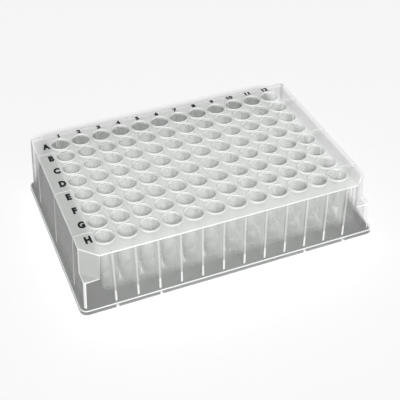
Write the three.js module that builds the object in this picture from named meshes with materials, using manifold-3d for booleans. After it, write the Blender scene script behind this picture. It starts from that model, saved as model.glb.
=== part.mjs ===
// A 96-well storage plate: one polypropylene moulding with 12 by 8 deep round wells of about 1 ml.
// The frame is centred on the footprint, with z = 0 under the foot flange, +X along the rows of
// twelve, and row A at the +Y side. All sizes are in millimetres.

import * as THREE from "three";
import { mergeVertices } from "three/addons/utils/BufferGeometryUtils.js";
import Module from "manifold-3d";

// The well grid. The two edge distances run from the outer edge of the foot flange to the axis of
// well A1, and with the pitch they give the standard footprint of 127.76 by 85.48.
const columns = 12;
const rows = 8;
const wellPitch = 9;
const edgeToFirstColumn = 14.38;
const edgeToFirstRow = 11.24;

// Heights above the table.
const flangeHeight = 2.4;
const tubeClearance = 1.2;
const ledgeHeight = 15.5;
const deckHeight = 27.1;

// Skirt, flange and deck.
const flangeWidth = 1.5;
const flangeCornerRadius = 3;
const skirtCornerRadius = 1.2;
const skirtWall = 1.2;
const deckThickness = 1.2;
const endWallLean = 1.7;
const sideWallLean = 0.75;
const cornerCut = 6.5;

// Wells: straight tubes with a little draft and a round bottom, and a sloping rim round each mouth.
const tubeGap = 0.3;
const wellWall = 0.65;
const wellDraft = 0.25;
const rimHeight = 0.6;
const rimGap = 0.4;

// Ribs that tie the outer tubes to the skirt, and the drain slots through the flange.
const ribThickness = 0.8;
const drainSlotWidth = 1.2;
const drainSlotHeight = 1.5;

// Facets of a round tube, and of each rounded corner.
const tubeSides = 8;
const cornerSegments = 3;

// How far a cutting solid runs past the face that it cuts.
const overrun = 1;

const footprintLength = (columns - 1) * wellPitch + 2 * edgeToFirstColumn;
const footprintWidth = (rows - 1) * wellPitch + 2 * edgeToFirstRow;
const tubeRadius = (wellPitch - tubeGap) / 2;
const mouthRadius = tubeRadius - wellWall;
const deckUnderside = deckHeight - deckThickness;
const deckMiddle = deckHeight - deckThickness / 2;

const wasm = await Module();
wasm.setup();

// A closed three.js geometry as a solid that can be joined and cut.
function solidOf(geometry) {
  geometry.deleteAttribute("normal");
  geometry.deleteAttribute("uv");
  const merged = mergeVertices(geometry);
  return new wasm.Manifold(
    new wasm.Mesh({
      numProp: 3,
      vertProperties: merged.attributes.position.array,
      triVerts: new Uint32Array(merged.index.array),
    }),
  );
}

// The joined or cut solid as a three.js geometry again.
function geometryOf(solid) {
  const mesh = solid.getMesh();
  const geometry = new THREE.BufferGeometry();
  geometry.setAttribute("position", new THREE.BufferAttribute(mesh.vertProperties, 3));
  geometry.setIndex(new THREE.BufferAttribute(mesh.triVerts, 1));
  geometry.computeVertexNormals();
  return geometry;
}

// A rectangle with round corners, centred on the origin.
function roundedRectangle(length, width, radius) {
  const x = length / 2;
  const y = width / 2;
  const quarter = Math.PI / 2;
  const shape = new THREE.Shape();
  shape.moveTo(x, radius - y);
  shape.absarc(x - radius, y - radius, radius, 0, quarter);
  shape.absarc(radius - x, y - radius, radius, quarter, 2 * quarter);
  shape.absarc(radius - x, radius - y, radius, 2 * quarter, 3 * quarter);
  shape.absarc(x - radius, radius - y, radius, 3 * quarter, 4 * quarter);
  return shape;
}

// A block between two heights over a shape that is drawn at the height of the flange. Its walls lean
// in from there up to the deck.
function leaningBlock(shape, bottom, top) {
  const block = new THREE.ExtrudeGeometry(shape, {
    depth: top - bottom,
    bevelEnabled: false,
    curveSegments: cornerSegments,
  });
  block.translate(0, 0, bottom);
  const places = block.getAttribute("position");
  for (let i = 0; i < places.count; i++) {
    const share = leanShare(places.getZ(i));
    const x = places.getX(i);
    const y = places.getY(i);
    places.setX(i, x - Math.sign(x) * endWallLean * share);
    places.setY(i, y - Math.sign(y) * sideWallLean * share);
  }
  return solidOf(block);
}

// How much of its lean a wall has at a height: none at the flange, all of it at the deck.
function leanShare(height) {
  return (height - flangeHeight) / (deckHeight - flangeHeight);
}

// The outline of the skirt or of the hollow in it, a given inset inside the footprint.
function skirtOutline(inset) {
  const length = footprintLength - 2 * inset;
  const width = footprintWidth - 2 * inset;
  return roundedRectangle(length, width, skirtCornerRadius);
}

// The wedge that is cut off a front corner above the ledge, leaning as the walls do. The inset moves
// its slanting face and its lower face outwards by a wall's thickness, for the hollow inside.
function cornerWedge(side, inset) {
  const endX = footprintLength / 2 - flangeWidth;
  const frontY = footprintWidth / 2 - flangeWidth;
  const reach = cornerCut + inset * Math.SQRT2;
  const shape = new THREE.Shape();
  shape.moveTo(side * (endX + overrun), -(frontY + overrun));
  shape.lineTo(side * (endX + overrun), -(frontY - reach - overrun));
  shape.lineTo(side * (endX - reach - overrun), -(frontY + overrun));
  return leaningBlock(shape, ledgeHeight - inset, deckHeight + overrun);
}

// A round body turned about its own upright axis, from points given as [radius, height]. The corners
// of its facets stand a little outside the circle, so that each ring keeps the circle's area.
function turned(profile) {
  const step = (2 * Math.PI) / tubeSides;
  const swell = Math.sqrt(step / Math.sin(step));
  const points = profile.map(([radius, height]) => new THREE.Vector2(radius * swell, height));
  const body = new THREE.LatheGeometry(points, tubeSides, step / 2);
  body.rotateX(Math.PI / 2);
  return solidOf(body);
}

// The profile of a tube with a round bottom, from its lowest point on the axis. It widens by its
// draft up to the height where it has its full radius, and runs straight on from there to its end.
function tubeProfile(lowest, fullRadius, fullHeight, end) {
  const radius = fullRadius - wellDraft;
  const ring = radius * Math.SQRT1_2;
  return [
    [0, lowest],
    [ring, lowest + radius - ring],
    [radius, lowest + radius],
    [fullRadius, fullHeight],
    [fullRadius, end],
    [0, end],
  ];
}

// The rim's outside slopes at 45 degrees, and the well cuts it to an edge.
function rimProfile() {
  const base = (wellPitch - rimGap) / 2;
  const slope = (base - mouthRadius) / rimHeight;
  const rise = rimHeight + overrun;
  return [
    [0, deckUnderside],
    [base, deckUnderside],
    [base, deckHeight],
    [base - slope * rise, deckHeight + rise],
    [0, deckHeight + rise],
  ];
}

// A rib's side view, from the middle of the skirt wall on the right to the points where it ends at
// the tubes, given from the highest down. Its lower edge runs from the last of them to the flange.
function ribShape(tubeEnds, wallMiddle, lean) {
  const shape = new THREE.Shape();
  shape.moveTo(wallMiddle, flangeHeight);
  shape.lineTo(wallMiddle - lean * leanShare(deckMiddle), deckMiddle);
  shape.lineTo(tubeEnds[0][0], deckMiddle);
  for (const [x, height] of tubeEnds) {
    shape.lineTo(x, height);
  }
  return shape;
}

// A rib standing across the y axis at the side that the angle points to.
function rib(shape, angle, along) {
  const plate = new THREE.ExtrudeGeometry(shape, { depth: ribThickness, bevelEnabled: false });
  plate.translate(0, 0, -ribThickness / 2);
  plate.rotateX(Math.PI / 2);
  plate.rotateZ(angle);
  plate.translate(...along);
  return solidOf(plate);
}

function columnX(column) {
  return (column - (columns - 1) / 2) * wellPitch;
}

function rowY(row) {
  return ((rows - 1) / 2 - row) * wellPitch;
}

// The outside of the plate without its wells: flange, skirt and the two cut front corners.
function outerShell() {
  const flange = new THREE.ExtrudeGeometry(
    roundedRectangle(footprintLength, footprintWidth, flangeCornerRadius),
    { depth: flangeHeight, bevelEnabled: false, curveSegments: cornerSegments },
  );
  const skirt = leaningBlock(skirtOutline(flangeWidth), overrun, deckHeight);
  return skirt.add(solidOf(flange)).subtract(cornerWedge(-1, 0)).subtract(cornerWedge(1, 0));
}

// The hollow under the deck, one wall inside the skirt all round.
function innerHollow() {
  const hollow = leaningBlock(skirtOutline(flangeWidth + skirtWall), -overrun, deckUnderside);
  return hollow.subtract(cornerWedge(-1, skirtWall)).subtract(cornerWedge(1, skirtWall));
}

// The side ribs end in the walls of the outer tubes, and halfway down their round bottoms.
function sideRibs() {
  const wallMiddle = footprintWidth / 2 - flangeWidth - skirtWall / 2;
  const bottomCentre = tubeClearance + tubeRadius - wellDraft;
  const halfway = (tubeRadius - wellDraft - wellWall / 2) * Math.SQRT1_2;
  const tubeEnds = [
    [rowY(0) + mouthRadius, bottomCentre],
    [rowY(0) + halfway, bottomCentre - halfway],
  ];
  const shape = ribShape(tubeEnds, wallMiddle, sideWallLean);
  const ribs = [];
  for (let column = 0; column < columns; column++) {
    for (const angle of [Math.PI / 2, -Math.PI / 2]) {
      ribs.push(rib(shape, angle, [columnX(column), 0, 0]));
    }
  }
  return ribs;
}

// The end ribs reach in between two tubes, beside the first, the middle and the last pair of rows,
// and down to where the round bottoms start.
function endRibs() {
  const wallMiddle = footprintLength / 2 - flangeWidth - skirtWall / 2;
  const tubeEnds = [[columnX(columns - 1) + wellWall, tubeClearance + tubeRadius]];
  const shape = ribShape(tubeEnds, wallMiddle, endWallLean);
  const ribs = [];
  for (const row of [1, rows / 2, rows - 1]) {
    for (const angle of [0, Math.PI]) {
      ribs.push(rib(shape, angle, [0, rowY(row - 0.5), 0]));
    }
  }
  return ribs;
}

// Slots through the flange's lower edge, under the outermost and third ribs of both long sides.
function drainSlots() {
  const footWidth = flangeWidth + skirtWall;
  const slots = [];
  for (const column of [0, 2, columns - 3, columns - 1]) {
    for (const side of [-1, 1]) {
      const slot = new THREE.BoxGeometry(drainSlotWidth, footWidth + overrun, 2 * drainSlotHeight);
      slot.translate(columnX(column), (side * (footprintWidth - footWidth)) / 2, 0);
      slots.push(solidOf(slot));
    }
  }
  return slots;
}

// Copies of one solid at every well of the grid.
function atEachWell(solid) {
  const copies = [];
  for (let row = 0; row < rows; row++) {
    for (let column = 0; column < columns; column++) {
      copies.push(solid.translate([columnX(column), rowY(row), 0]));
    }
  }
  return copies;
}

function plateSolid() {
  const tube = turned(tubeProfile(tubeClearance, tubeRadius, deckUnderside, deckMiddle));
  const rim = turned(rimProfile());
  const mouth = deckHeight + rimHeight;
  const well = turned(tubeProfile(tubeClearance + wellWall, mouthRadius, mouth, mouth + overrun));
  const shell = outerShell().subtract(innerHollow());
  const joined = [shell, ...sideRibs(), ...endRibs(), ...atEachWell(tube), ...atEachWell(rim)];
  const cut = [...atEachWell(well), ...drainSlots()];
  return wasm.Manifold.union(joined).subtract(wasm.Manifold.union(cut));
}

const polypropylene = new THREE.MeshStandardMaterial({
  color: 0xdfe2e0,
  roughness: 0.42,
  metalness: 0,
});

const plate = new THREE.Mesh(geometryOf(plateSolid()), polypropylene);
plate.name = "well_plate";

const part = new THREE.Group();
part.add(plate);

export default part;
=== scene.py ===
"""The looks of a 96-well storage plate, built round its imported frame.

The moulding is made once more with round wells, rounded rims and softened edges, in the place and to
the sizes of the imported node, and it replaces that node. The printed well index is added on the deck.
Lengths are millimetres until a mesh is finished, and angles are degrees. The studio and the camera are
in Blender's own metres.
"""

import math

import bmesh
import bpy
from mathutils import Matrix, Vector


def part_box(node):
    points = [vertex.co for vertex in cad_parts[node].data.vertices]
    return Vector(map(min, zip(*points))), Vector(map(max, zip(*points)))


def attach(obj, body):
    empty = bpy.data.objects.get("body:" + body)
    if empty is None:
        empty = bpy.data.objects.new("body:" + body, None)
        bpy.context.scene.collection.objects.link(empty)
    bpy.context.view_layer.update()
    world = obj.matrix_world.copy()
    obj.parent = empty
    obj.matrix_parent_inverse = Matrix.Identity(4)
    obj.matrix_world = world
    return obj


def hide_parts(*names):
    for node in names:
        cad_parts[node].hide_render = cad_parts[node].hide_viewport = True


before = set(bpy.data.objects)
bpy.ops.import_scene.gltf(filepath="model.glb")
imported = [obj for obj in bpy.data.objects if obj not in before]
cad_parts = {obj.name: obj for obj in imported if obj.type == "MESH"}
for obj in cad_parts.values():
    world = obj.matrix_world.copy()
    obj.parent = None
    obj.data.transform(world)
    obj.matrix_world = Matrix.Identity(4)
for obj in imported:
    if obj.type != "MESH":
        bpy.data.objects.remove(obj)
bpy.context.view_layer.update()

MM = 0.001

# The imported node's box gives the footprint and the overall height.
BOX_LOW, BOX_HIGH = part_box("well_plate")
FOOTPRINT_LENGTH = (BOX_HIGH[0] - BOX_LOW[0]) / MM
FOOTPRINT_WIDTH = (BOX_HIGH[1] - BOX_LOW[1]) / MM
OVERALL_HEIGHT = (BOX_HIGH[2] - BOX_LOW[2]) / MM

# The well grid. The tubes hang from the deck and end at their clearance over the table.
COLUMNS = 12
ROWS = 8
PITCH = 9.0
TUBE_GAP = 0.3
TUBE_CLEARANCE = 1.2
WELL_WALL = 0.65
WELL_DRAFT = 0.25
RIM_HEIGHT = 0.6
RIM_GAP = 0.4

# Skirt, flange and deck. Each wall leans in by its lean between the flange and the deck.
FLANGE_HEIGHT = 2.4
FLANGE_WIDTH = 1.5
FLANGE_CORNER_RADIUS = 3.0
SKIRT_CORNER_RADIUS = 1.2
SKIRT_WALL = 1.2
END_WALL_LEAN = 1.7
SIDE_WALL_LEAN = 0.75
CORNER_CUT = 6.5
LEDGE_HEIGHT = 15.5
DECK_THICKNESS = 1.2
EDGE_ROUNDING = 0.35

# Ribs and drain slots. A rib stands out of the skirt by its witness, and is whiter there below its foot's
# height. Every column has a side rib at the front and the back. The end ribs stand between two rows:
# each of these rows and the one before it.
RIB_THICKNESS = 0.8
RIB_WITNESS = 0.02
RIB_FOOT = 7.5
END_RIB_ROWS = (1, ROWS // 2, ROWS - 1)
DRAIN_SLOT_COLUMNS = (0, 2, COLUMNS - 3, COLUMNS - 1)
DRAIN_SLOT_WIDTH = 1.2
DRAIN_SLOT_HEIGHT = 1.5

# Printed well index. A width is a share of the font's own width at that height. A place is where the
# middle of a letter or number lies from the middle of the well next to it. Points of the print that are
# closer than the weld become one.
LETTER_HEIGHT = 4.0
LETTER_WIDTH = 0.76
LETTER_PLACE = (-6.2, 0.75)
NUMBER_HEIGHT = 2.5
NUMBER_WIDTH = 1.1
NUMBER_PLACE = (0.8, 6.6)
FONT_BOLDNESS = 0.07
FONT_STEPS = 4
INK_THICKNESS = 0.03
INK_GAP = 0.01
INK_WELD = 0.0005

# Look of the ink.
INK_COLOUR = (0.012, 0.012, 0.013, 1)
INK_ROUGHNESS = 0.6
INK_SPECULAR = 0.05

# Look of the plastic. Its roughness and cloudiness vary over ranges, the two noises have their scales in
# features per metre, and the power says how late a face whitens as it turns towards grazing.
PLASTIC_COLOUR = (0.93, 0.945, 0.93, 1)
PLASTIC_ROUGHNESS = (0.25, 0.45)
GRAIN_SCALE = 1500
GRAIN_DETAIL = 3
BUMP_STRENGTH = 0.15
BUMP_DEPTH = 0.05
CLOUDINESS = (0.94, 1.06)
CLOUD_SCALE = 70
CLOUD_DETAIL = 2
GRAZING_POWER = 3.0

# How opaque each finish of the plastic is: seen straight on, seen along itself, and to a lamp's light.
FINISH_OPACITIES = {
    "wall": (0.08, 0.42, 0.2),
    "edge": (0.65, 1.0, 0.3),
    "tube": (0.11, 0.35, 0.02),
    "bowl": (0.22, 0.45, 1.0),
    "rib": (0.32, 0.8, 0.15),
    "foot": (0.12, 0.5, 1.0),
    "deck": (0.46, 0.75, 0.2),
    "rim": (0.42, 1.0, 0.1),
}
FINISHES = tuple(FINISH_OPACITIES)

# Where the plastic stops all of a lamp's light, as ranges over which its shadow on the floor grows dark:
# low down, at the far side, and outside the tubes at both ends.
SHADE_HEIGHT = (9.0, 8.3)
SHADE_FAR = (33.0, 38.0)
SHADE_END = (53.5, 55.0)

# Studio, in metres. Sky and floor look white, but light the plate less than white ones would. The lamp
# stands so many degrees round from the front and so many up.
SKY_LEVEL = 0.06
FLOOR_WHITE = 1.0
FLOOR_BOUNCE = 0.35
FLOOR_ROUGHNESS = 0.9
FLOOR_REACH = 12
FLOOR_DROP = 0.0002
LAMP_FROM = (-15, 36)
LAMP_DISTANCE = 30
LAMP_SIZE = 4.5
LAMP_POWER = 13250

# Camera, in metres, fitted to the photograph. It looks from so many degrees round from the front and so
# many up, and its roll is in radians.
CAMERA_PLACE = (-0.10393, -0.25654, 0.23646)
CAMERA_FROM = (-22.445, 39.887)
CAMERA_ROLL = 0.00366
CAMERA_LENS = 74.62
CAMERA_CLIP_START = 0.01

# How often light may bounce, and pass through the plastic, where tube stands behind tube.
MOST_BOUNCES = 48
MOST_DIFFUSE_BOUNCES = 6
MOST_FACES_THROUGH = 96

# Fineness of the curves, and how far a block reaches past what it cuts or joins.
WELL_SIDES = 44
BOWL_STEPS = 6
RIM_STEPS = 3
CORNER_STEPS = 8
ROUNDING_STEPS = 3
OVERRUN = 1.0

# Which edges are rounded: convex ones over the first angle, apart from those under the second angle at
# the front wall. Then the angles from which an edge is shaded sharp.
ROUNDED_ANGLE = 40
BLUNT_ANGLE = 60
PLATE_SHARP_ANGLE = 38
LABEL_SHARP_ANGLE = 30

# How much of a face's normal has to lie upright for a level face, along the length and the width alike
# for a round corner, and forwards for the front wall.
LEVEL_NORMAL = 0.5
CORNER_NORMAL = 0.1
FRONT_NORMAL = 0.9

DECK_HEIGHT = OVERALL_HEIGHT - RIM_HEIGHT
DECK_UNDERSIDE = DECK_HEIGHT - DECK_THICKNESS
TUBE_RADIUS = (PITCH - TUBE_GAP) / 2
MOUTH_RADIUS = TUBE_RADIUS - WELL_WALL
RIM_RADIUS = (PITCH - RIM_GAP) / 2
BOWL_TOP = TUBE_CLEARANCE + TUBE_RADIUS


def math_node(tree, operation, *values):
    """A math node's output, from sockets or plain numbers."""
    node = tree.nodes.new("ShaderNodeMath")
    node.operation = operation
    for place, value in enumerate(values):
        if isinstance(value, (int, float)):
            node.inputs[place].default_value = value
        else:
            tree.links.new(value, node.inputs[place])
    return node.outputs[0]


def between(tree, share, low, high):
    """A socket that goes from a low to a high value as a share goes from 0 to 1."""
    return math_node(tree, "MULTIPLY_ADD", share, high - low, low)


def ramp(tree, place, start, end):
    """A socket that goes from 0 to 1 as a coordinate goes from one place to another, in millimetres."""
    node = tree.nodes.new("ShaderNodeMapRange")
    node.inputs["From Min"].default_value = start * MM
    node.inputs["From Max"].default_value = end * MM
    tree.links.new(place, node.inputs["Value"])
    return node.outputs["Result"]


def noise(tree, scale, detail):
    """Cloudy noise over the piece's own space, with its scale in features per metre."""
    place = tree.nodes.new("ShaderNodeTexCoord")
    node = tree.nodes.new("ShaderNodeTexNoise")
    node.inputs["Scale"].default_value = scale
    node.inputs["Detail"].default_value = detail
    tree.links.new(place.outputs["Object"], node.inputs["Vector"])
    return node.outputs["Fac"]


def lamp_cover(tree, least):
    """How much of a lamp's light a face stops: the least among the tubes, and all of it round them."""
    place = tree.nodes.new("ShaderNodeTexCoord")
    split = tree.nodes.new("ShaderNodeSeparateXYZ")
    tree.links.new(place.outputs["Object"], split.inputs[0])
    low = ramp(tree, split.outputs["Z"], *SHADE_HEIGHT)
    far = ramp(tree, split.outputs["Y"], *SHADE_FAR)
    end = ramp(tree, math_node(tree, "ABSOLUTE", split.outputs["X"]), *SHADE_END)
    dark = math_node(tree, "MAXIMUM", math_node(tree, "MAXIMUM", low, far), end)
    return math_node(tree, "MAXIMUM", dark, least)


def plastic(name, opacity, grazing_opacity, lamp_opacity):
    """Natural polypropylene: milky and see-through, whiter where a wall is thick or seen along itself."""
    material = bpy.data.materials.new(name)
    material.use_nodes = True
    tree = material.node_tree
    shader = tree.nodes["Principled BSDF"]
    shader.inputs["Base Color"].default_value = PLASTIC_COLOUR
    grain = noise(tree, GRAIN_SCALE, GRAIN_DETAIL)
    tree.links.new(between(tree, grain, *PLASTIC_ROUGHNESS), shader.inputs["Roughness"])
    bump = tree.nodes.new("ShaderNodeBump")
    bump.inputs["Strength"].default_value = BUMP_STRENGTH
    bump.inputs["Distance"].default_value = BUMP_DEPTH * MM
    tree.links.new(grain, bump.inputs["Height"])
    tree.links.new(bump.outputs["Normal"], shader.inputs["Normal"])

    weight = tree.nodes.new("ShaderNodeLayerWeight")
    grazing = math_node(tree, "POWER", weight.outputs["Facing"], GRAZING_POWER)
    cover = between(tree, grazing, opacity, grazing_opacity)
    cloud = between(tree, noise(tree, CLOUD_SCALE, CLOUD_DETAIL), *CLOUDINESS)
    cloudy = math_node(tree, "MINIMUM", math_node(tree, "MULTIPLY", cover, cloud), 1.0)
    path = tree.nodes.new("ShaderNodeLightPath")
    stopped = math_node(tree, "MULTIPLY", path.outputs["Is Shadow Ray"], lamp_cover(tree, lamp_opacity))
    tree.links.new(math_node(tree, "MAXIMUM", cloudy, stopped), shader.inputs["Alpha"])
    return material


PLASTICS = [plastic("polypropylene_" + finish, *FINISH_OPACITIES[finish]) for finish in FINISHES]


def column_x(column):
    """The middle of a column of wells, counted from 0 at the left."""
    return (column - (COLUMNS - 1) / 2) * PITCH


def row_y(row):
    """The middle of a row of wells, counted from 0 at the back."""
    return ((ROWS - 1) / 2 - row) * PITCH


def lean_share(height):
    """How much of its lean a wall has at a height: none at the flange, all of it at the deck."""
    return (height - FLANGE_HEIGHT) / (DECK_HEIGHT - FLANGE_HEIGHT)


def object_from(name, bm, materials):
    """A new object in the scene from a bmesh, which is used up."""
    bmesh.ops.recalc_face_normals(bm, faces=bm.faces)
    mesh = bpy.data.meshes.new(name)
    bm.to_mesh(mesh)
    bm.free()
    for material in materials:
        mesh.materials.append(material)
    made = bpy.data.objects.new(name, mesh)
    bpy.context.scene.collection.objects.link(made)
    return made


def solid_from(name, bm, finish=None):
    """A solid of the moulding, with one finish on all its faces unless they have their own."""
    if finish is not None:
        for face in bm.faces:
            face.material_index = FINISHES.index(finish)
    return object_from(name, bm, PLASTICS)


def mesh_made_by(source):
    """A new mesh of what an object's modifiers or its text make."""
    graph = bpy.context.evaluated_depsgraph_get()
    return bpy.data.meshes.new_from_object(source.evaluated_get(graph))


def apply_modifiers(target):
    """Replaces the object's mesh by what its modifiers make of it."""
    mesh = mesh_made_by(target)
    target.modifiers.clear()
    old = target.data
    target.data = mesh
    bpy.data.meshes.remove(old)


def combine(target, other, operation):
    """Joins another solid to the target, or cuts it away, and removes the other."""
    step = target.modifiers.new("combine", "BOOLEAN")
    step.operation = operation
    step.solver = "MANIFOLD"
    step.material_mode = "INDEX"
    step.object = other
    apply_modifiers(target)
    mesh = other.data
    bpy.data.objects.remove(other)
    bpy.data.meshes.remove(mesh)


def add_prism(bm, outline, low, high):
    """A prism over a closed outline of (x, y) points, between two heights."""
    rings = [[bm.verts.new((x, y, z)) for x, y in outline] for z in (low, high)]
    bm.faces.new(reversed(rings[0]))
    bm.faces.new(rings[1])
    for i, start in enumerate(rings[0]):
        j = (i + 1) % len(outline)
        bm.faces.new((start, rings[0][j], rings[1][j], rings[1][i]))


def rounded_rectangle(length, width, radius):
    """Points round a rectangle with round corners, anticlockwise, centred on the origin."""
    points = []
    for quarter, (sx, sy) in enumerate(((1, 1), (-1, 1), (-1, -1), (1, -1))):
        centre_x = sx * (length / 2 - radius)
        centre_y = sy * (width / 2 - radius)
        for step in range(CORNER_STEPS + 1):
            angle = (quarter + step / CORNER_STEPS) * math.pi / 2
            points.append((centre_x + radius * math.cos(angle), centre_y + radius * math.sin(angle)))
    return points


def leaning_solid(name, bm, finish=None):
    """A solid drawn at the size it has at the flange, with its walls made to lean in above that."""
    for vertex in bm.verts:
        share = lean_share(vertex.co.z)
        vertex.co.x -= math.copysign(END_WALL_LEAN * share, vertex.co.x)
        vertex.co.y -= math.copysign(SIDE_WALL_LEAN * share, vertex.co.y)
    return solid_from(name, bm, finish)


def skirt_block(name, inset, low, high, corner_finish):
    """The block inside the skirt's outer faces, or inside its hollow, by the inset from the footprint."""
    bm = bmesh.new()
    length = FOOTPRINT_LENGTH - 2 * inset
    width = FOOTPRINT_WIDTH - 2 * inset
    add_prism(bm, rounded_rectangle(length, width, SKIRT_CORNER_RADIUS), low, high)
    bm.normal_update()
    for face in bm.faces:
        if abs(face.normal.z) > LEVEL_NORMAL:
            finish = "deck"
        elif min(abs(face.normal.x), abs(face.normal.y)) > CORNER_NORMAL:
            finish = corner_finish
        else:
            finish = "wall"
        face.material_index = FINISHES.index(finish)
    return leaning_solid(name, bm)


def corner_wedges(inset):
    """The two wedges cut off the front corners above the ledge, grown by an inset for the hollow."""
    end_x = FOOTPRINT_LENGTH / 2 - FLANGE_WIDTH
    front_y = FOOTPRINT_WIDTH / 2 - FLANGE_WIDTH
    reach = CORNER_CUT + inset * math.sqrt(2)
    bm = bmesh.new()
    for side in (-1, 1):
        outline = [
            (side * (end_x + OVERRUN), -(front_y + OVERRUN)),
            (side * (end_x + OVERRUN), -(front_y - reach - OVERRUN)),
            (side * (end_x - reach - OVERRUN), -(front_y + OVERRUN)),
        ]
        add_prism(bm, outline, LEDGE_HEIGHT - inset, DECK_HEIGHT + OVERRUN)
    return leaning_solid("corner_wedges", bm, "rib")


def foot_flange():
    """The low flange that the plate stands on."""
    bm = bmesh.new()
    outline = rounded_rectangle(FOOTPRINT_LENGTH, FOOTPRINT_WIDTH, FLANGE_CORNER_RADIUS)
    add_prism(bm, outline, 0, FLANGE_HEIGHT)
    return solid_from("foot_flange", bm, "foot")


def turned_finish(one_height, other_height):
    """The finish of a turned body between two heights: its rim, its round bottom or the tube between."""
    if min(one_height, other_height) > DECK_UNDERSIDE:
        return "rim"
    if max(one_height, other_height) < BOWL_TOP:
        return "bowl"
    return "tube"


def add_turned(bm, profile, x, y):
    """A body turned about an upright axis, from (radius, height) points that start and end on it."""
    rings = []
    for radius, height in profile:
        if radius == 0:
            rings.append([bm.verts.new((x, y, height))])
            continue
        ring = []
        for side in range(WELL_SIDES):
            angle = 2 * math.pi * (side + 0.5) / WELL_SIDES
            ring.append(bm.verts.new((x + radius * math.cos(angle), y + radius * math.sin(angle), height)))
        rings.append(ring)
    for lower, upper in zip(rings, rings[1:]):
        finish = turned_finish(lower[0].co.z, upper[0].co.z)
        for i in range(WELL_SIDES):
            j = (i + 1) % WELL_SIDES
            if len(lower) == 1:
                corners = (lower[0], upper[j], upper[i])
            elif len(upper) == 1:
                corners = (lower[i], lower[j], upper[0])
            else:
                corners = (lower[i], lower[j], upper[j], upper[i])
            face = bm.faces.new(corners)
            face.material_index = FINISHES.index(finish)


def at_each_well(name, profile):
    """One solid with the same turned body at every well."""
    bm = bmesh.new()
    for row in range(ROWS):
        for column in range(COLUMNS):
            add_turned(bm, profile, column_x(column), row_y(row))
    return solid_from(name, bm)


def bowl(lowest, radius):
    """The profile of a round bottom, from its lowest point on the axis out to its full radius."""
    points = [(0, lowest)]
    for step in range(1, BOWL_STEPS + 1):
        angle = math.pi / 2 * step / BOWL_STEPS
        points.append((radius * math.sin(angle), lowest + radius * (1 - math.cos(angle))))
    return points


def tubes():
    """The tubes, each from its lowest point up over the rounded rim, and down the well inside."""
    outside = bowl(TUBE_CLEARANCE, TUBE_RADIUS - WELL_DRAFT)
    outside += [(TUBE_RADIUS, DECK_UNDERSIDE), (RIM_RADIUS, DECK_HEIGHT)]
    rim = []
    round_radius = (RIM_RADIUS - MOUTH_RADIUS) / 2
    for step in range(2 * RIM_STEPS + 1):
        angle = math.pi * step / (2 * RIM_STEPS)
        radius = MOUTH_RADIUS + round_radius + round_radius * math.cos(angle)
        rim.append((radius, OVERALL_HEIGHT - round_radius + round_radius * math.sin(angle)))
    inside = bowl(TUBE_CLEARANCE + WELL_WALL, MOUTH_RADIUS - WELL_DRAFT)
    return at_each_well("tubes", outside + rim + [(MOUTH_RADIUS, DECK_HEIGHT)] + inside[::-1])


def deck_holes():
    """What is cut from the deck for the tubes, out to the middle of their rims."""
    radius = (RIM_RADIUS + MOUTH_RADIUS) / 2
    low = DECK_UNDERSIDE - OVERRUN
    high = DECK_HEIGHT + OVERRUN
    return at_each_well("deck_holes", [(0, low), (radius, low), (radius, high), (0, high)])


def add_rib(bm, tube_ends, wall_face, lean, top, turn, along):
    """A rib from a tube through the skirt wall, drawn along +X and then turned and moved.

    The tube ends are (distance, height) points from the lowest up, and the rib's lower edge runs from
    the first of them to the flange. Its narrow faces are white like edges, apart from the outer one above
    its foot.
    """
    outer_heights = (FLANGE_HEIGHT, RIB_FOOT, top)
    side_view = [(wall_face - lean * lean_share(z), z) for z in outer_heights]
    side_view += [(tube_ends[-1][0], top)] + tube_ends[::-1]
    above_foot = outer_heights.index(RIB_FOOT)
    half = RIB_THICKNESS / 2
    place = Matrix.Translation(along) @ Matrix.Rotation(turn, 4, "Z")
    faces = [[bm.verts.new(place @ Vector((x, y, z))) for x, z in side_view] for y in (-half, half)]
    bm.faces.new(faces[0]).material_index = FINISHES.index("rib")
    bm.faces.new(reversed(faces[1])).material_index = FINISHES.index("rib")
    for i in range(len(side_view)):
        j = (i + 1) % len(side_view)
        narrow = bm.faces.new((faces[0][i], faces[1][i], faces[1][j], faces[0][j]))
        narrow.material_index = FINISHES.index("rib" if i == above_foot else "edge")


def add_side_ribs(bm):
    """A rib from the round bottom of each tube in the first and last row to the wall next to it."""
    wall_face = FOOTPRINT_WIDTH / 2 - FLANGE_WIDTH + RIB_WITNESS
    bottom_radius = TUBE_RADIUS - WELL_DRAFT
    bottom_centre = TUBE_CLEARANCE + bottom_radius
    halfway = (bottom_radius - WELL_WALL / 2) * math.sqrt(0.5)
    tube_ends = [
        (row_y(0) + halfway, bottom_centre - halfway),
        (row_y(0) + TUBE_RADIUS - WELL_WALL, bottom_centre),
    ]
    top = DECK_HEIGHT - DECK_THICKNESS / 2
    for column in range(COLUMNS):
        for turn in (math.pi / 2, -math.pi / 2):
            add_rib(bm, tube_ends, wall_face, SIDE_WALL_LEAN, top, turn, (column_x(column), 0, 0))


def add_end_ribs(bm):
    """Ribs between two rows at both ends, from the end tubes' sides out, and up to the deck's top."""
    wall_face = FOOTPRINT_LENGTH / 2 - FLANGE_WIDTH + RIB_WITNESS
    tube_ends = [(column_x(COLUMNS - 1) + TUBE_RADIUS - WELL_WALL / 2, BOWL_TOP)]
    top = DECK_HEIGHT + RIB_WITNESS
    for row in END_RIB_ROWS:
        for turn in (0, math.pi):
            add_rib(bm, tube_ends, wall_face, END_WALL_LEAN, top, turn, (0, row_y(row - 0.5), 0))


def ribs():
    """All the ribs, as one solid that is joined to the plate."""
    bm = bmesh.new()
    add_side_ribs(bm)
    add_end_ribs(bm)
    return solid_from("ribs", bm)


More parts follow.
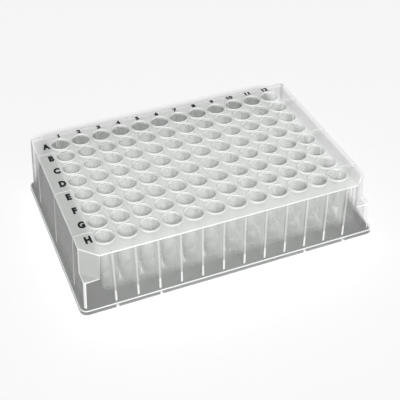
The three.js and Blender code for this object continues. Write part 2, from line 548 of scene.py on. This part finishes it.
def drain_slots():
    """What is cut from the foot under some of the side ribs, to let water drain."""
    bm = bmesh.new()
    half = DRAIN_SLOT_WIDTH / 2
    outer = FOOTPRINT_WIDTH / 2 + OVERRUN
    inner = FOOTPRINT_WIDTH / 2 - FLANGE_WIDTH - SKIRT_WALL - OVERRUN / 2
    for column in DRAIN_SLOT_COLUMNS:
        x = column_x(column)
        for side in (-1, 1):
            outline = [
                (x - half, side * inner),
                (x + half, side * inner),
                (x + half, side * outer),
                (x - half, side * outer),
            ]
            add_prism(bm, outline, -OVERRUN, DRAIN_SLOT_HEIGHT)
    return solid_from("drain_slots", bm, "edge")


def soften(target):
    """Rounds the outer edges, apart from the upright ones where a cut corner meets the front wall."""
    bm = bmesh.new()
    bm.from_mesh(target.data)
    weights = bm.edges.layers.float.new("bevel_weight_edge")
    for edge in bm.edges:
        angle = edge.calc_face_angle()
        sharp = edge.is_convex and angle > math.radians(ROUNDED_ANGLE)
        front = max(-face.normal.y for face in edge.link_faces) > FRONT_NORMAL
        blunt = angle < math.radians(BLUNT_ANGLE)
        edge[weights] = 1.0 if sharp and not (blunt and front) else 0.0
    bm.to_mesh(target.data)
    bm.free()
    step = target.modifiers.new("soften", "BEVEL")
    step.width = EDGE_ROUNDING
    step.segments = ROUNDING_STEPS
    step.limit_method = "WEIGHT"
    step.material = FINISHES.index("edge")
    apply_modifiers(target)


def moulding():
    """The whole plate as one closed mesh."""
    plate = skirt_block("plate_moulding", FLANGE_WIDTH, OVERRUN, DECK_HEIGHT, "edge")
    combine(plate, corner_wedges(0), "DIFFERENCE")
    soften(plate)
    flange = foot_flange()
    soften(flange)
    combine(plate, flange, "UNION")
    hollow = skirt_block("hollow", FLANGE_WIDTH + SKIRT_WALL, -OVERRUN, DECK_UNDERSIDE, "wall")
    combine(hollow, corner_wedges(SKIRT_WALL), "DIFFERENCE")
    combine(plate, hollow, "DIFFERENCE")
    combine(plate, deck_holes(), "DIFFERENCE")
    combine(plate, tubes(), "UNION")
    combine(plate, ribs(), "UNION")
    combine(plate, drain_slots(), "DIFFERENCE")
    return plate


def add_label(bm, text, height, width, x, y):
    """One label as a thin raised shape on the deck, centred on a place.

    Its width is a share of the font's own width at that height.
    """
    curve = bpy.data.curves.new("label", "FONT")
    curve.body = text
    curve.offset = FONT_BOLDNESS
    curve.extrude = 1
    curve.resolution_u = FONT_STEPS
    source = bpy.data.objects.new("label", curve)
    bpy.context.scene.collection.objects.link(source)
    mesh = mesh_made_by(source)
    lows = [min(vertex.co[axis] for vertex in mesh.vertices) for axis in range(3)]
    highs = [max(vertex.co[axis] for vertex in mesh.vertices) for axis in range(3)]
    scale = height / (highs[1] - lows[1])
    flattening = INK_THICKNESS / (highs[2] - lows[2])
    for vertex in mesh.vertices:
        vertex.co.x = x + width * scale * (vertex.co.x - (lows[0] + highs[0]) / 2)
        vertex.co.y = y + scale * (vertex.co.y - (lows[1] + highs[1]) / 2)
        vertex.co.z = DECK_HEIGHT + INK_GAP + flattening * (vertex.co.z - lows[2])
    bm.from_mesh(mesh)
    bpy.data.objects.remove(source)
    bpy.data.curves.remove(curve)
    bpy.data.meshes.remove(mesh)


def ink():
    """Black printing ink with next to no shine."""
    material = bpy.data.materials.new("black_ink")
    material.use_nodes = True
    shader = material.node_tree.nodes["Principled BSDF"]
    shader.inputs["Base Color"].default_value = INK_COLOUR
    shader.inputs["Roughness"].default_value = INK_ROUGHNESS
    shader.inputs["Specular IOR Level"].default_value = INK_SPECULAR
    return material


def well_index():
    """Row letters on the left margin and column numbers behind the first row."""
    bm = bmesh.new()
    for row, letter in enumerate("ABCDEFGH"):
        y = row_y(row) + LETTER_PLACE[1]
        add_label(bm, letter, LETTER_HEIGHT, LETTER_WIDTH, column_x(0) + LETTER_PLACE[0], y)
    for column in range(COLUMNS):
        x = column_x(column) + NUMBER_PLACE[0]
        add_label(bm, str(column + 1), NUMBER_HEIGHT, NUMBER_WIDTH, x, row_y(0) + NUMBER_PLACE[1])
    bmesh.ops.remove_doubles(bm, verts=bm.verts, dist=INK_WELD)
    return object_from("index_print", bm, [ink()])


def finish_mesh(target, sharp_angle):
    """Brings the mesh to metres and shades it smooth, with sharp edges from an angle on."""
    bm = bmesh.new()
    bm.from_mesh(target.data)
    bmesh.ops.scale(bm, vec=(MM, MM, MM), verts=bm.verts)
    for face in bm.faces:
        face.smooth = True
    for edge in bm.edges:
        edge.smooth = len(edge.link_faces) == 2 and edge.calc_face_angle() < math.radians(sharp_angle)
    bm.to_mesh(target.data)
    bm.free()


def seen_directly(tree):
    """A socket that is 1 for the camera's own rays and for those that metal or glass sends on, else 0."""
    path = tree.nodes.new("ShaderNodeLightPath")
    total = path.outputs["Is Camera Ray"]
    for name in ("Is Glossy Ray", "Is Transmission Ray"):
        total = math_node(tree, "MAXIMUM", total, path.outputs[name])
    return total


def sky():
    """A dim even sky that looks white."""
    world = bpy.data.worlds.new("studio")
    bpy.context.scene.world = world
    world.use_nodes = True
    world.cycles.sampling_method = "NONE"
    tree = world.node_tree
    background = tree.nodes["Background"]
    background.inputs["Color"].default_value = (1, 1, 1, 1)
    tree.links.new(between(tree, seen_directly(tree), SKY_LEVEL, 1.0), background.inputs["Strength"])


def ground():
    """A matt floor that looks white and throws back less light than that."""
    paint = bpy.data.materials.new("floor_white")
    paint.use_nodes = True
    tree = paint.node_tree
    shader = tree.nodes["Principled BSDF"]
    shader.inputs["Roughness"].default_value = FLOOR_ROUGHNESS
    shader.inputs["Specular IOR Level"].default_value = 0
    tint = tree.nodes.new("ShaderNodeMix")
    tint.data_type = "RGBA"
    tint.inputs["A"].default_value = (FLOOR_BOUNCE, FLOOR_BOUNCE, FLOOR_BOUNCE, 1)
    tint.inputs["B"].default_value = (FLOOR_WHITE, FLOOR_WHITE, FLOOR_WHITE, 1)
    tree.links.new(seen_directly(tree), tint.inputs["Factor"])
    tree.links.new(tint.outputs["Result"], shader.inputs["Base Color"])
    bm = bmesh.new()
    bmesh.ops.create_grid(bm, x_segments=1, y_segments=1, size=FLOOR_REACH)
    floor = object_from("floor", bm, [paint])
    floor.location.z = BOX_LOW[2] - FLOOR_DROP


def direction(azimuth, elevation):
    """A unit vector from the plate, so many degrees round from the front and so many up."""
    azimuth = math.radians(azimuth)
    elevation = math.radians(elevation)
    level = math.cos(elevation)
    return Vector((math.sin(azimuth) * level, -math.cos(azimuth) * level, math.sin(elevation)))


def softbox():
    """One large soft lamp, turned to the plate."""
    lamp = bpy.data.lights.new("softbox", "AREA")
    lamp.shape = "SQUARE"
    lamp.size = LAMP_SIZE
    lamp.energy = LAMP_POWER
    stand = bpy.data.objects.new("softbox", lamp)
    stand.location = LAMP_DISTANCE * direction(*LAMP_FROM)
    stand.rotation_euler = (-stand.location).to_track_quat("-Z", "Y").to_euler()
    bpy.context.scene.collection.objects.link(stand)


def camera():
    """The scene's camera, at the photograph's view."""
    data = bpy.data.cameras.new("camera")
    data.lens = CAMERA_LENS
    data.clip_start = CAMERA_CLIP_START
    eye = bpy.data.objects.new("camera", data)
    eye.location = CAMERA_PLACE
    eye.rotation_mode = "QUATERNION"
    level_aim = (-direction(*CAMERA_FROM)).to_track_quat("-Z", "Y").to_matrix()
    eye.rotation_quaternion = (level_aim @ Matrix.Rotation(CAMERA_ROLL, 3, "Z")).to_quaternion()
    bpy.context.scene.collection.objects.link(eye)
    bpy.context.scene.camera = eye


def light_settings():
    """Plain colours, and enough bounces for light to cross the whole plate."""
    scene = bpy.context.scene
    scene.view_settings.view_transform = "Standard"
    scene.cycles.max_bounces = MOST_BOUNCES
    scene.cycles.diffuse_bounces = MOST_DIFFUSE_BOUNCES
    scene.cycles.transparent_max_bounces = MOST_FACES_THROUGH


plate = moulding()
finish_mesh(plate, PLATE_SHARP_ANGLE)
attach(plate, "root")
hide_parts("well_plate")
labels = well_index()
finish_mesh(labels, LABEL_SHARP_ANGLE)
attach(labels, "root")
sky()
ground()
softbox()
camera()
light_settings()
